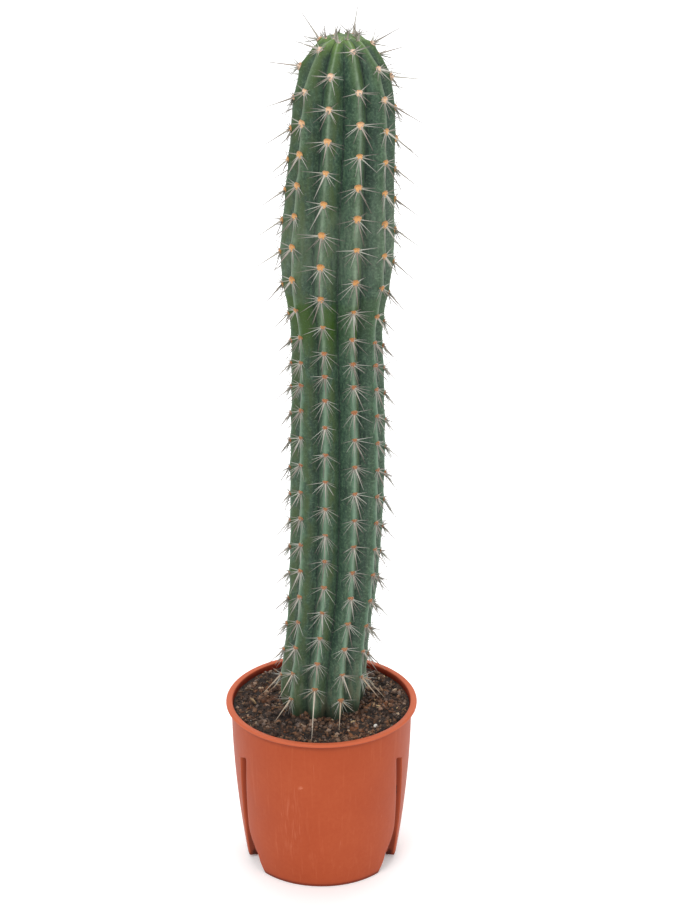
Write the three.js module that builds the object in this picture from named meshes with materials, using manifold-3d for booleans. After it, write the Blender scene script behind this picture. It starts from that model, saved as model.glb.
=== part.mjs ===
// A tall ten-ribbed cactus in a footed plastic nursery pot.
// Millimetres, +Z up. The origin is on the ground under the middle of the pot, the front faces -Y.

import * as THREE from 'three';
import { mergeVertices } from 'three/addons/utils/BufferGeometryUtils.js';
import Module from 'manifold-3d';

const wasm = await Module();
wasm.setup();

// ---------------------------------------------------------------- driving dimensions

const GAP = 0.3; // clearance between neighbouring pieces

// pot
const POT_HEIGHT = 172;
const RIM_RADIUS = 95;
const BASE_RADIUS = 75.2;
const SHOULDER_RADIUS = 89.5; // wall just under the lip
const WALL_BULGE = 1.85; // 1 would make the wall a straight cone
const WALL = 1.8;
const LIP_HEIGHT = 5;
const FLOOR_UNDERSIDE = 12;
const FLOOR_TOP = 14.5;
const SIDE_LIFT = 3; // the two side walls stop this far above the ground
const NOTCH_TOP = 11; // the grooves' floors stop here, so four notches open under the pot's floor
const FOOT_WALL = 3;
const GROOVE_DEPTH = 6;
const GROOVE_TOP = 126;
const GROOVE_WIDTH = 6.5; // degrees
const GROOVE_FOOT_ANGLE = 74.7; // degrees from the front, at the ground
const GROOVE_DRIFT = 0.0825; // degrees towards the front for each millimetre up
const FOOT_CORNER_HEIGHT = 50; // above this the foot panel's edges run beside the grooves
const FOOT_CORNER_CUT = 18.2; // degrees taken off the panel at the ground
const FOOT_CORNER_POWER = 1.6;
const PANEL_ROUNDING = 1.6; // degrees over which the panel's edge rolls into the groove
const SIDE_FACE = 1.1; // degrees of groove floor that stay beside the side wall at a notch
const DRAIN_HOLES = 8;
const DRAIN_RADIUS = 5;
const DRAIN_CIRCLE = 52;

// soil
const SOIL_TOP = 166;
const SOIL_MOUND = 3; // rise towards the stem
const SOIL_ROUGHNESS = 1.6;
const SOIL_RINGS = [76, 62, 49, 25]; // radii of the surface's points

// stem
const RIBS = 10;
const COLUMNS_PER_RIB = 4;
const RIB_DEPTH = 0.3; // of the crest radius
const FLANK_DEPTH = 0.46; // of the rib depth, half way from crest to valley
const FLANK_FALL = 0.85; // how steeply the flank falls away beside an areole
const STEM_FOOT = 128; // rounded end of the stem, down in the soil
const CROWN_TOP = 858;
const CROWN_START = 790;
// crest radius at heights: foot, soil line, lower stem, waist, shoulder, upper stem, crown's start
const GIRTH = [
  [STEM_FOOT, 12], [146, 31], [166, 38.5], [182, 41.6], [210, 41.3], [255, 40.7], [304, 42.5],
  [380, 44.3], [450, 44.7], [514, 43.4], [565, 42.5], [586, 44.3], [612, 49.2], [640, 52],
  [665, 52.1], [726, 49], [CROWN_START, 46.6],
];
// how far the stem's middle stands to the right of the pot's, at heights
const LEAN = [
  [STEM_FOOT, 0.5], [194, 2], [240, 5.8], [304, 12.2], [380, 15.4], [500, 16.6], [614, 15.4],
  [700, 18.3], [780, 22.2], [CROWN_TOP, 22.4],
];
// how far the ribs have wound round to the right, in degrees, at heights
const TWIST = [[STEM_FOOT, 6.5], [200, 6], [390, 3.8], [640, 1.2], [790, 0.4], [CROWN_TOP, 0.3]];

// areoles, the woolly buds that the spines grow from
const FIRST_AREOLE = 189.5;
const LAST_AREOLE = 856;
const AREOLE_PITCH = 28.2; // along a rib
const WAIST = { height: 538, spread: 30, pitch: -6 };
const SURGE = { height: 630, spread: 30, pitch: 3 };
const UPPER_PITCH = 1.5; // added above the waist
const NEIGHBOUR_SHIFT = 1.4; // the odd ribs' areoles stand this much over half way
const AREOLE_RISE = 0.6;
const SADDLE_DROP = 0.4; // crest between two areoles
const TILT = 3.4; // the areoles on the right stand this much higher than those at the front
const TILT_FADE = 40; // the tilt dies away over this height at both ends

// spines: one long one and two short ones on each areole
const SPINE_SIDES = 3;
const SPINE_ROOT = 2.5; // sunk in the flesh
const LONG = { length: 22, radius: 0.8, side: 1.4, up: 2.4 }; // side and up: where it leaves the areole
const SHORT = { length: 13.5, radius: 0.6, side: 2.7, up: -1.4, lift: 0.42 }; // lift: off the skin
const LENGTH_SPREAD = 0.12;
const AIM_SPREAD = 0.15; // radians
const SEED = 20611;
// how far a long spine rises above level, in degrees, at heights: they droop below and stand up on the crown
const LONG_RISE = [[690, -25], [760, -18], [800, -7], [826, 6], [846, 62], [CROWN_TOP, 80]];

const MATERIALS = {
  pot: new THREE.MeshStandardMaterial({ color: 0xbd5a3e, roughness: 0.5, metalness: 0 }),
  soil: new THREE.MeshStandardMaterial({ color: 0x3c302a, roughness: 0.95, metalness: 0 }),
  cactus: new THREE.MeshStandardMaterial({ color: 0x41604c, roughness: 0.6, metalness: 0 }),
};

// ---------------------------------------------------------------- small helpers

const radians = THREE.MathUtils.degToRad;

/** Height of a smooth curve through [x, y] points. */
function along(points, x) {
  const last = points.length - 1;
  if (x <= points[0][0]) return points[0][1];
  if (x >= points[last][0]) return points[last][1];
  const i = points.findIndex((point) => point[0] > x) - 1;
  const [a, b, c, d] = [points[Math.max(i - 1, 0)], points[i], points[i + 1], points[Math.min(i + 2, last)]];
  const span = c[0] - b[0];
  const slopeIn = i > 0 ? ((c[1] - a[1]) / (c[0] - a[0])) * span : c[1] - b[1];
  const slopeOut = i + 1 < last ? ((d[1] - b[1]) / (d[0] - b[0])) * span : c[1] - b[1];
  const t = (x - b[0]) / span;
  const rest = 1 - t;
  return rest * rest * (1 + 2 * t) * b[1] + rest * rest * t * slopeIn
    + t * t * (3 - 2 * t) * c[1] - t * t * rest * slopeOut;
}

function bump(x, centre, spread) {
  return Math.exp(-(((x - centre) / spread) ** 2));
}

/** Repeatable random numbers from 0 to 1. */
function seeded(seed) {
  let state = seed;
  return () => {
    state = (state * 1664525 + 1013904223) % 4294967296;
    return state / 4294967296;
  };
}

/** A point at an angle from the front, anticlockwise seen from above. */
function polar(radius, angle, z) {
  return new THREE.Vector3(radius * Math.sin(angle), -radius * Math.cos(angle), z);
}

/** A closed geometry as a solid for joining and cutting. */
function solid(geometry) {
  const bare = new THREE.BufferGeometry();
  bare.setAttribute('position', geometry.getAttribute('position'));
  bare.setIndex(geometry.getIndex());
  const merged = mergeVertices(bare, 1e-4);
  const corners = merged.getIndex().array;
  const faces = [];
  for (let i = 0; i < corners.length; i += 3) {
    const [a, b, c] = corners.slice(i, i + 3);
    if (a !== b && b !== c && c !== a) faces.push(a, b, c);
  }
  return new wasm.Manifold(new wasm.Mesh({
    numProp: 3,
    vertProperties: new Float32Array(merged.getAttribute('position').array),
    triVerts: new Uint32Array(faces),
  }));
}

/** A finished solid as a named mesh. */
function piece(name, body) {
  const { vertProperties, triVerts } = body.getMesh();
  const geometry = new THREE.BufferGeometry();
  geometry.setAttribute('position', new THREE.BufferAttribute(new Float32Array(vertProperties), 3));
  geometry.setIndex(new THREE.BufferAttribute(new Uint32Array(triVerts), 1));
  geometry.computeVertexNormals();
  const mesh = new THREE.Mesh(geometry, MATERIALS[name]);
  mesh.name = name;
  return mesh;
}

/**
 * A solid of revolution about Z from [radius, height] points that start and end on the axis,
 * with every point then placed by place(radius, column, height).
 */
function turned(profile, columns, place) {
  const points = profile.map(([radius, z]) => new THREE.Vector2(radius, z));
  const geometry = new THREE.LatheGeometry(points, columns);
  const position = geometry.getAttribute('position');
  const rows = points.length;
  for (let i = 0; i < position.count; i++) {
    const column = Math.floor(i / rows) % columns;
    const { x: radius, y: z } = points[i % rows];
    const { x, y, z: height } = place(radius, column, z);
    position.setXYZ(i, x, y, height);
  }
  return solid(geometry);
}

// ---------------------------------------------------------------- pot

/** Outer radius of the plain, gently bulging wall. */
function wallRadius(z) {
  const rise = Math.min(z / (POT_HEIGHT - LIP_HEIGHT), 1);
  return BASE_RADIUS + (SHOULDER_RADIUS - BASE_RADIUS) * (1 - (1 - rise) ** WALL_BULGE);
}

/** Angle of a groove's edge on the side wall. */
function sideEdge(z) {
  return GROOVE_FOOT_ANGLE - GROOVE_DRIFT * Math.min(z, GROOVE_TOP);
}

/** Angle of a groove's edge on the foot panel, whose lower corners curve in. */
function panelEdge(z) {
  const corner = Math.max(0, 1 - z / FOOT_CORNER_HEIGHT) ** FOOT_CORNER_POWER;
  return sideEdge(z) - GROOVE_WIDTH - FOOT_CORNER_CUT * corner;
}

// columns of a quarter of the wall, from the front to the side: angle and share of the groove's depth
const QUARTER = [
  (z) => [0, 0],
  (z) => [0.17 * panelEdge(z), 0],
  (z) => [0.34 * panelEdge(z), 0],
  (z) => [0.5 * panelEdge(z), 0],
  (z) => [0.66 * panelEdge(z), 0],
  (z) => [0.8 * panelEdge(z), 0],
  (z) => [0.91 * panelEdge(z), 0],
  (z) => [panelEdge(z) - PANEL_ROUNDING, 0.08],
  (z) => [panelEdge(z), 0.35],
  (z) => [panelEdge(z) + PANEL_ROUNDING / 2, 1],
  (z) => [0.5 * (panelEdge(z) + sideEdge(z)), 1],
  (z) => [sideEdge(z) - 0.5, 1],
  (z) => [sideEdge(z), 0],
  (z) => [0.6 * sideEdge(z) + 36, 0],
  (z) => [0.3 * sideEdge(z) + 63, 0],
];
const POT_COLUMNS = 4 * QUARTER.length;

/** Places a point of the wall, pressed in at the four grooves up to the height top. */
function pressed(top) {
  return (radius, column, z) => {
    const step = column % (2 * QUARTER.length);
    const half = column < 2 * QUARTER.length ? 0 : 180;
    const mirrored = step >= QUARTER.length;
    const index = mirrored ? 2 * QUARTER.length - step : step;
    const [angle, depth] = index === QUARTER.length ? [90, 0] : QUARTER[index](z);
    const pressing = z <= top && radius > BASE_RADIUS / 2 ? GROOVE_DEPTH * depth : 0;
    return polar(radius - pressing, radians(half + (mirrored ? 180 - angle : angle)), z);
  };
}

const WALL_ROWS = [0, 8, 18, 32, 50, 88, GROOVE_TOP - 0.5, GROOVE_TOP + 0.5, 148];

/** Rows of a wall offset inwards, between two heights, with the groove's end moved up by the same offset. */
function wallRows(inset, from, to) {
  const rows = WALL_ROWS.map((z) => (Math.abs(z - GROOVE_TOP) < 1 ? z + inset : z));
  const between = [from, ...rows.filter((z) => z > from + 2 && z < to - 2), to];
  return between.map((z) => [wallRadius(z) - inset, z]);
}

function potOutside() {
  const lipBase = POT_HEIGHT - LIP_HEIGHT;
  const profile = [
    [0, 0],
    ...wallRows(0, 0, lipBase),
    [RIM_RADIUS - 1.8, lipBase + 0.5],
    [RIM_RADIUS - 0.3, lipBase + 1.7],
    [RIM_RADIUS, lipBase + 3],
    [RIM_RADIUS - 0.7, lipBase + 4.3],
    [RIM_RADIUS - 2.4, POT_HEIGHT],
    [0, POT_HEIGHT],
  ];
  return turned(profile, POT_COLUMNS, pressed(GROOVE_TOP));
}

/** The room inside the wall, from a floor height to above a top height. */
function potInside(inset, floor, top, mouth) {
  const profile = [[0, floor], ...wallRows(inset, floor, top), ...mouth];
  return turned(profile, POT_COLUMNS, pressed(GROOVE_TOP + inset));
}

/** The hollow under the floor, inside the two foot panels. */
function underside() {
  const rows = [-1, 8, FLOOR_UNDERSIDE].map((z) => [wallRadius(Math.max(z, 0)) - FOOT_WALL, z]);
  return turned([[0, -1], ...rows, [0, FLOOR_UNDERSIDE]], POT_COLUMNS, pressed(GROOVE_TOP));
}

/**
 * A wedge that opens the wall near the ground, between two angles that may change with height,
 * turned about Z.
 */
function footOpening(start, end, top, turn) {
  const near = BASE_RADIUS / 4;
  const far = 2 * RIM_RADIUS;
  const outline = (z) => {
    const [a, b] = [radians(start(Math.max(z, 0))), radians(end(Math.max(z, 0)))];
    return [polar(far, a, z), polar(far, b, z), polar(near, b, z), polar(near, a, z)];
  };
  const rings = [-1, top / 2, top].map(outline);
  const axis = new THREE.Vector3(0, 0, 1);
  const points = rings.flat().map((point) => point.applyAxisAngle(axis, turn));
  const faces = [0, 3, 2, 0, 2, 1];
  for (let ring = 0; ring + 1 < rings.length; ring++) {
    for (let i = 0; i < 4; i++) {
      const [a, b] = [4 * ring + i, 4 * ring + ((i + 1) % 4)];
      faces.push(a, b, b + 4, a, b + 4, a + 4);
    }
  }
  const last = 4 * (rings.length - 1);
  faces.push(last, last + 1, last + 2, last, last + 2, last + 3);
  const geometry = new THREE.BufferGeometry().setFromPoints(points);
  geometry.setIndex(faces);
  return solid(geometry);
}

/** What is open under one side wall, and in the two notches beside it. */
function sideOpenings(turn) {
  const panel = (z) => panelEdge(z) + PANEL_ROUNDING / 4;
  const groove = (z) => sideEdge(z) - SIDE_FACE;
  return [
    footOpening(panel, (z) => 180 - panel(z), SIDE_LIFT, turn),
    footOpening(panel, groove, NOTCH_TOP, turn),
    footOpening((z) => 180 - groove(z), (z) => 180 - panel(z), NOTCH_TOP, turn),
  ];
}

function drainHole(index) {
  const depth = 4 * (FLOOR_TOP - FLOOR_UNDERSIDE);
  const geometry = new THREE.CylinderGeometry(DRAIN_RADIUS, DRAIN_RADIUS, depth, 12);
  const { x, y } = polar(DRAIN_CIRCLE, (2 * Math.PI * index) / DRAIN_HOLES, 0);
  geometry.rotateX(Math.PI / 2).translate(x, y, (FLOOR_UNDERSIDE + FLOOR_TOP) / 2);
  return solid(geometry);
}

function makePot() {
  const mouth = [[SHOULDER_RADIUS, POT_HEIGHT + 1], [0, POT_HEIGHT + 1]];
  let pot = potOutside();
  pot = pot.subtract(potInside(WALL, FLOOR_TOP, POT_HEIGHT - LIP_HEIGHT, mouth));
  pot = pot.subtract(underside());
  for (const opening of [...sideOpenings(0), ...sideOpenings(Math.PI)]) pot = pot.subtract(opening);
  for (let i = 0; i < DRAIN_HOLES; i++) pot = pot.subtract(drainHole(i));
  return piece('pot', pot);
}

// ---------------------------------------------------------------- stem

/** Crest radius at a height; the crown closes as a blunt dome. */
function crestRadius(z) {
  if (z < CROWN_START) return along(GIRTH, z);
  const rise = Math.min((z - CROWN_START) / (CROWN_TOP - CROWN_START), 1);
  return GIRTH.at(-1)[1] * (1 - rise ** 2.6) ** 0.5;
}

/** How far a rib's crest leans in from the vertical at a height, in radians. */
function crestSlope(z) {
  return Math.atan((crestRadius(z - 1) - crestRadius(z + 1)) / 2);
}

/** Height from one areole to the next on a rib. */
function pitchAt(z) {
  const waist = WAIST.pitch * bump(z, WAIST.height, WAIST.spread);
  const surge = SURGE.pitch * bump(z, SURGE.height, SURGE.spread);
  const length = AREOLE_PITCH + waist + surge + (z > WAIST.height ? UPPER_PITCH : 0);
  return length * Math.cos(crestSlope(z));
}

/** Heights where ribs carry areoles: the even ones on even ribs, the odd ones on odd ribs. */
function areoleHeights() {
  const heights = [];
  for (let z = FIRST_AREOLE; z < LAST_AREOLE; z += pitchAt(z) / 2) heights.push(z);
  return heights.map((z, i) => z + (i % 2 ? NEIGHBOUR_SHIFT : 0));
}

const AREOLE_ROWS = areoleHeights();

/** Angle of a column of the stem from the front. */
function columnAngle(column, z) {
  return (2 * Math.PI * column) / (RIBS * COLUMNS_PER_RIB) + radians(along(TWIST, z));
}

/** Height of a row where it crosses a column: the rows stand higher on the right. */
function tilted(z, angle) {
  const ends = Math.min(z - STEM_FOOT, CROWN_TOP - z) / TILT_FADE;
  return z + TILT * Math.sin(angle) * Math.min(1, Math.max(0, ends));
}

const STEM_ROWS = [
  134, 142, 150, 158, 167, 178, ...AREOLE_ROWS, CROWN_TOP - 1,
];

/** A point of the stem's skin, moved out by offset. */
function skinPoint(column, z, offset) {
  const place = column % COLUMNS_PER_RIB;
  const crest = place === COLUMNS_PER_RIB / 2;
  const rib = Math.floor(column / COLUMNS_PER_RIB);
  const angle = columnAngle(column, z);
  const height = tilted(z, angle);
  const radius = crestRadius(height);
  const share = place === 0 ? 1 : crest ? 0 : FLANK_DEPTH;
  const row = AREOLE_ROWS.indexOf(z);
  const relief = row < 0 || !crest ? 0 : row % 2 === rib % 2 ? AREOLE_RISE : -SADDLE_DROP;
  const point = polar(radius * (1 - RIB_DEPTH * share) + relief + offset, angle, height);
  point.x += along(LEAN, height);
  return point;
}

/** The stem's body, or a space that clears it by offset, up to a height. */
function stemBody(offset, top) {
  const rows = STEM_ROWS.filter((z) => z < top);
  const end = top < CROWN_TOP ? [[1, top], [0, top]] : [[0, CROWN_TOP]];
  const profile = [[0, STEM_FOOT - offset], ...rows.map((z) => [1, z]), ...end];
  return turned(profile, RIBS * COLUMNS_PER_RIB, (radius, column, z) => (
    radius > 0 ? skinPoint(column, z, offset) : new THREE.Vector3(along(LEAN, z), 0, z)
  ));
}

/** A slim three-sided spine that grows from a point along a direction. */
function spine(root, direction, length, radius) {
  const geometry = new THREE.ConeGeometry(radius, length + SPINE_ROOT, SPINE_SIDES, 1);
  geometry.translate(0, (length - SPINE_ROOT) / 2, 0);
  const up = new THREE.Vector3(0, 1, 0);
  geometry.applyQuaternion(new THREE.Quaternion().setFromUnitVectors(up, direction.clone().normalize()));
  geometry.translate(root.x, root.y, root.z);
  return solid(geometry);
}

/** The spines of every areole; each leaves its own spot on the areole's slope. */
function areoleSpines() {
  const random = seeded(SEED);
  const spines = [];
  AREOLE_ROWS.forEach((z, row) => {
    for (let rib = row % 2; rib < RIBS; rib += 2) {
      const column = rib * COLUMNS_PER_RIB + COLUMNS_PER_RIB / 2;
      const bud = skinPoint(column, z, 0);
      const angle = columnAngle(column, z);
      const level = polar(1, angle, 0);
      const side = polar(1, angle + Math.PI / 2, 0);
      const slope = crestSlope(z);
      const out = level.clone().multiplyScalar(Math.cos(slope)).setZ(Math.sin(slope));
      const up = level.clone().multiplyScalar(-Math.sin(slope)).setZ(Math.cos(slope));
      const stray = () => AIM_SPREAD * (2 * random() - 1);
      const grow = (kind, hand, aim) => {
        const root = bud.clone().addScaledVector(side, kind.side * hand).addScaledVector(up, kind.up);
        root.addScaledVector(out, -FLANK_FALL * kind.side);
        aim.addScaledVector(side, stray()).addScaledVector(up, stray());
        const length = kind.length * (1 + LENGTH_SPREAD * (2 * random() - 1));
        spines.push(spine(root, aim, length, kind.radius));
      };
      const rise = radians(along(LONG_RISE, z));
      const spread = (across, along) => out.clone().multiplyScalar(SHORT.lift)
        .addScaledVector(side, across).addScaledVector(up, along);
      const hand = (Math.floor(row / 2) + rib) % 2 ? 1 : -1;
      grow(LONG, 1, level.clone().multiplyScalar(Math.cos(rise)).setZ(Math.sin(rise)));
      grow(SHORT, hand, spread(hand, 0));
      grow(SHORT, -hand, spread(-0.75 * hand, -0.65));
    }
  });
  return spines;
}

function makeCactus() {
  return piece('cactus', wasm.Manifold.union([stemBody(0, CROWN_TOP), ...areoleSpines()]));
}

// ---------------------------------------------------------------- soil

/** Height of the loose, slightly mounded surface. */
function soilHeight(radius, angle) {
  const mound = SOIL_MOUND * (1 - radius / SHOULDER_RADIUS);
  const rough = Math.sin(3 * angle + 0.12 * radius) * Math.cos(0.19 * radius - 2 * angle)
    + 0.5 * Math.sin(7 * angle - 0.31 * radius);
  return SOIL_TOP + mound + SOIL_ROUGHNESS * rough * Math.min(1, (SHOULDER_RADIUS - radius) / 8);
}

function makeSoil() {
  const inset = WALL + GAP;
  const floor = FLOOR_TOP + GAP;
  const surface = SOIL_TOP + 0.01; // a mark that tells the surface's points from the wall's last row
  const rings = SOIL_RINGS.map((radius) => [radius, surface]);
  const press = pressed(GROOVE_TOP + inset);
  const profile = [[0, floor], ...wallRows(inset, floor, SOIL_TOP), ...rings, [0, surface]];
  const fill = turned(profile, POT_COLUMNS, (radius, column, z) => {
    const point = press(radius, column, z);
    if (z > SOIL_TOP) point.z = soilHeight(radius, Math.atan2(point.x, -point.y));
    return point;
  });
  return piece('soil', fill.subtract(stemBody(GAP, AREOLE_ROWS[0])));
}

// ---------------------------------------------------------------- assembly

const plant = new THREE.Group();
plant.name = 'potted_columnar_cactus';
plant.add(makePot(), makeSoil(), makeCactus());

export default plant;
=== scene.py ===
"""A tall ten-ribbed cactus in a footed plastic nursery pot, finished for looks around the fixed model."""

import math
import random

import bpy
import numpy as np
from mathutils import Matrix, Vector, noise


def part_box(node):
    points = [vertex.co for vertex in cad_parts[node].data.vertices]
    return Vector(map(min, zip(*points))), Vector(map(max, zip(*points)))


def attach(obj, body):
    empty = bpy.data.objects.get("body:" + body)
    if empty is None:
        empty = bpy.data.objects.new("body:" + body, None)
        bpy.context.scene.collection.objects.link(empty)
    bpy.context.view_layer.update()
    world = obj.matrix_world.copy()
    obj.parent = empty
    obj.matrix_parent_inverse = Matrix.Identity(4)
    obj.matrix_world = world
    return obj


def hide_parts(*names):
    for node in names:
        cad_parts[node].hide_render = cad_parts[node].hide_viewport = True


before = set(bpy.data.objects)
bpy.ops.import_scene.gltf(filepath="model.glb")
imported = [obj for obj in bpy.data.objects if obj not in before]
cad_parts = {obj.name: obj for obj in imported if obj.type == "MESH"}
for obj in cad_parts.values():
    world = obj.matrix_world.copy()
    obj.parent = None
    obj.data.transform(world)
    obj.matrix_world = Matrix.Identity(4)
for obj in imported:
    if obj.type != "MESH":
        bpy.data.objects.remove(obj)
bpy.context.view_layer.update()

MM = 0.001
TURN = 2 * math.pi
SEED = 20611

# ---- driving dimensions, in metres

# pot
RIM_RADIUS, _, POT_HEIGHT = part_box("pot")[1]
LIP_HEIGHT = 5 * MM
LIP_ROUNDING = 1.9 * MM
BASE_RADIUS = 75.2 * MM
SHOULDER_RADIUS = 89.5 * MM
WALL_BULGE = 1.85
WALL = 1.6 * MM
FLOOR_UNDERSIDE = 12 * MM
FLOOR_TOP = 14.5 * MM
SIDE_LIFT = 3 * MM
NOTCH_TOP = 11 * MM  # the grooves' floors stop here
FOOT_WALL = 2.6 * MM
FOOT_BLEND = 22 * MM  # rows below this close up above the lifted side walls
UNDER_DROP = 0.8 * MM  # the foot's inner face stays this far below the floor
UNDER_SPACING = 0.05  # what is left there of the rows' spacing
GROOVE_DEPTH = 6 * MM
GROOVE_TOP = 126 * MM
GROOVE_WIDTH = 6.5  # degrees
GROOVE_STEP = 0.5 * MM  # half the height of the step at a groove's upper end
GROOVE_RISE = 4.6 * MM  # that end slopes up towards the panel
RISE_FADE = (2 * MM, 15 * MM)  # away from the end the rows are level again
GROOVE_FOOT_ANGLE = 75.1  # degrees from the front, at the ground
GROOVE_DRIFT = 82.5  # degrees towards the front for each metre up
FOOT_CORNER_HEIGHT = 50 * MM
FOOT_CORNER_CUT = 18.2  # degrees
FOOT_CORNER_POWER = 1.6
NOTCH_CUT = 2.6  # degrees that the panel's edge stands back above a notch
NOTCH_SPREAD = 9 * MM
PANEL_ROLL = 2.4  # degrees over which the panel's edge rolls into the groove
SHARP_EDGE = 50  # degrees between faces
DRAIN_HOLES = 8
DRAIN_RADIUS = 5 * MM
DRAIN_CIRCLE = 52 * MM
DRAIN_SIDES = 24
# painted shade and painted highlight on the pot near the ground
LOW_DOWN = (20 * MM, 60 * MM)
NOTCH_SHADE = 2.3
NOTCH_SHADE_FADE = (6 * MM, 16 * MM)
GROOVE_SHADE = 1.35

# soil
SOIL_TOP = 166 * MM
SOIL_MOUND = 3 * MM
SOIL_GAP = 0.3 * MM
SOIL_LUMPS = [(2.4, 0, 55), (2.2, 9, 130), (0.8, 3, 420)]  # size in mm, layer of the noise and its scale
SOIL_HEM = 6 * MM  # the lumps are lower this near the wall
SOIL_RINGS = 72
HOLLOW = (-37, -30, 9)  # a small hollow beside the stem, its crumbs painted dark as shade: middle and spread in mm
HOLLOW_DEPTH = 3 * MM
STEM_CLEARANCE = 31 * MM  # from the stem's middle to the nearest crumb
# where rusty peat lies: middle and spread in mm
RUSTY_PLACES = [(63, -6, 13), (38, -36, 10), (38, -57, 11), (-36, -60, 9), (-60, 26, 10), (-62, 6, 11)]

# stem
STEM_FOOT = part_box("cactus")[0].z
RIBS = 10
STEM_COLUMNS = 24  # for each rib
STEM_STEP = 2.1 * MM
OUTLINE_STEPS = 4000
RIB_DEPTH = 0.3  # of the crest radius
CREST_ROUNDING = 0.17  # share of a rib's half width over which its crest is rounded
BUD_ROUNDING = 0.2  # more of it at an areole
VALLEY_FILL = 0.05  # of the rib's depth
VALLEY_WIDTH = 0.1  # of a rib's half width
CROWN_TOP = 856 * MM
CROWN_START = 776 * MM
CROWN_POWER = 2.1
CROWN_FLATNESS = 0.36
CROWN_TUCK = 0.4 * MM
SKIN_PROUD = 0.8 * MM  # the finished skin stands this much outside the plain model's
WOBBLES = [(45, 0.7), (140, 0.22)]  # scale of the noise, and size in mm
THIN_STEM = 30 * MM  # on a thinner stem they shrink
LINE_WIDTH = 0.105  # of a rib's half width: the pale line on its crest
LINE_REACH = 9 * MM  # it fades this far below an areole
OLIVE_PLACE = (0.42, 0.32)  # middle and spread, in a rib's half widths
# crest radius in millimetres at heights in millimetres
GIRTH = [
    (128, 12), (146, 31), (166, 38.5), (182, 41.6), (210, 41.3), (255, 40.7), (304, 42.5),
    (380, 44.3), (450, 44.7), (514, 43.4), (565, 42.5), (586, 44.3), (612, 49.2), (640, 52),
    (665, 52.1), (726, 49), (790, 46.6),
]
# how far the stem's middle stands to the right of the pot's
LEAN = [
    (128, 0.5), (194, 2), (240, 5.8), (304, 12.2), (380, 15.4), (500, 16.6), (614, 15.4),
    (700, 18.3), (780, 22.2), (858, 22.4),
]
# how far the ribs have wound round to the right, in degrees
TWIST = [(128, 6.5), (200, 6), (390, 3.8), (640, 1.2), (790, 0.4), (858, 0.3)]
# the fresh green ring between two seasons' growth: where it comes in and where it goes out
WAIST_IN = (545 * MM, 545 * MM + 44 * MM)
WAIST_OUT = (612 * MM - 6 * MM, 612 * MM)

# areoles
FIRST_AREOLE = 189.5
AREOLE_PITCH = 28.2
WAIST_PITCH = (538, 30, -6)  # height, spread, change of pitch
SURGE_PITCH = (630, 30, 3)
UPPER_PITCH = 1.5
NEIGHBOUR_SHIFT = 1.4
LAST_FULL_ROW = 840
CROWN_ROWS = (849, 854.6, 855.6)  # the youngest, crowded round the apex
AREOLE_RISE = 0.55 * MM
SADDLE_DROP = 0.25 * MM
BUD_REACH = 7 * MM  # along the skin
BUD_WIDTH = 0.42  # of a rib's half width
KNOBS = 3  # how much stronger that relief is on the crown
KNOB_RADIUS = 18 * MM  # on a thinner stem the relief shrinks
TILT = 3.4 * MM  # the areoles on the right stand this much higher than those at the front
TILT_FADE = 40 * MM
FELT_SINK = 1.2 * MM
HAIRS = 16  # for each areole
HAIR_THICKNESS = 0.09  # in mm

# zones of height in metres, each from where something comes in to where it is full
CROWN = (795 * MM, 842 * MM)
YOUNG = (0.56, 0.64)
APEX = (0.850, 0.855)
APEX_BEHIND = (0.835, 0.845)
FOOT_GONE = (0.2, 0.235)
FELT_YOUNG = (0.56, 0.66)
FELT_CROWN = (0.82, 0.86)
FELT_APEX = (0.850, 0.854)

# spines: the short ones' degrees anticlockwise from the right, seen from outside, and lengths in mm
UPPER_FAN = [(5, 15.5), (175, 15.5), (-14, 15), (194, 15), (-40, 14), (220, 14), (-64, 13), (244, 13)]
LOWER_FAN = [(4, 14), (176, 14), (-16, 16), (196, 16), (-36, 17), (216, 17), (-54, 17), (234, 17),
             (-72, 16), (252, 16), (-90, 15)]
SHORT_PAIR = [(32, 8), (148, 8)]
PAIR_CHANCE = 0.4
SPINE_SINK = 0.5  # in mm
# how far the long spine rises above level, in degrees, at heights in millimetres
LONG_RISE = [(190, -48), (480, -52), (590, -48), (640, -40), (760, -38), (795, -24), (815, -6), (832, 4),
             (849, 28), (854, 80), (856, 86)]
RISE_BEHIND = 50  # degrees more at the back of the apex
LOWEST_ROWS = 210 * MM  # below this the spines at the front hang down to the soil
FRONT = 0.85  # cosine of the angle from the front within which they do
HANGING = Vector((-0.08, -1, -1))

# camera, matched to the photograph
CAMERA_PLACE = (0.0234, -2.820, 1.721)
CAMERA_TILT = 24.47  # degrees down
CAMERA_LENS = 127.4
CAMERA_SENSOR = 36

# floor, which curves up into a backdrop
FLOOR_HALF = 6.0
FLOOR_FRONT = 5.0
FLOOR_BACK = 4.0
FLOOR_BEND = 1.5
BACKDROP_TOP = 6.0
FLOOR_DROP = 0.0001


# ---- shape rules

def along(points, x):
    """Smooth curve through points, the same rule as the model's, in millimetres."""
    last = len(points) - 1
    if x <= points[0][0]:
        return points[0][1]
    if x >= points[last][0]:
        return points[last][1]
    i = next(k for k, point in enumerate(points) if point[0] > x) - 1
    a, b, c, d = (points[min(max(k, 0), last)] for k in range(i - 1, i + 3))
    span = c[0] - b[0]
    slope_in = (c[1] - a[1]) / (c[0] - a[0]) * span
    slope_out = (d[1] - b[1]) / (d[0] - b[0]) * span
    t = (x - b[0]) / span
    rest = 1 - t
    return (rest * rest * (1 + 2 * t) * b[1] + rest * rest * t * slope_in
            + t * t * (3 - 2 * t) * c[1] - t * t * rest * slope_out)


def smooth(low, high, x):
    t = min(max((x - low) / (high - low), 0), 1)
    return t * t * (3 - 2 * t)


def bell(x, centre, spread):
    return math.exp(-(((x - centre) / spread) ** 2))


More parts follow.
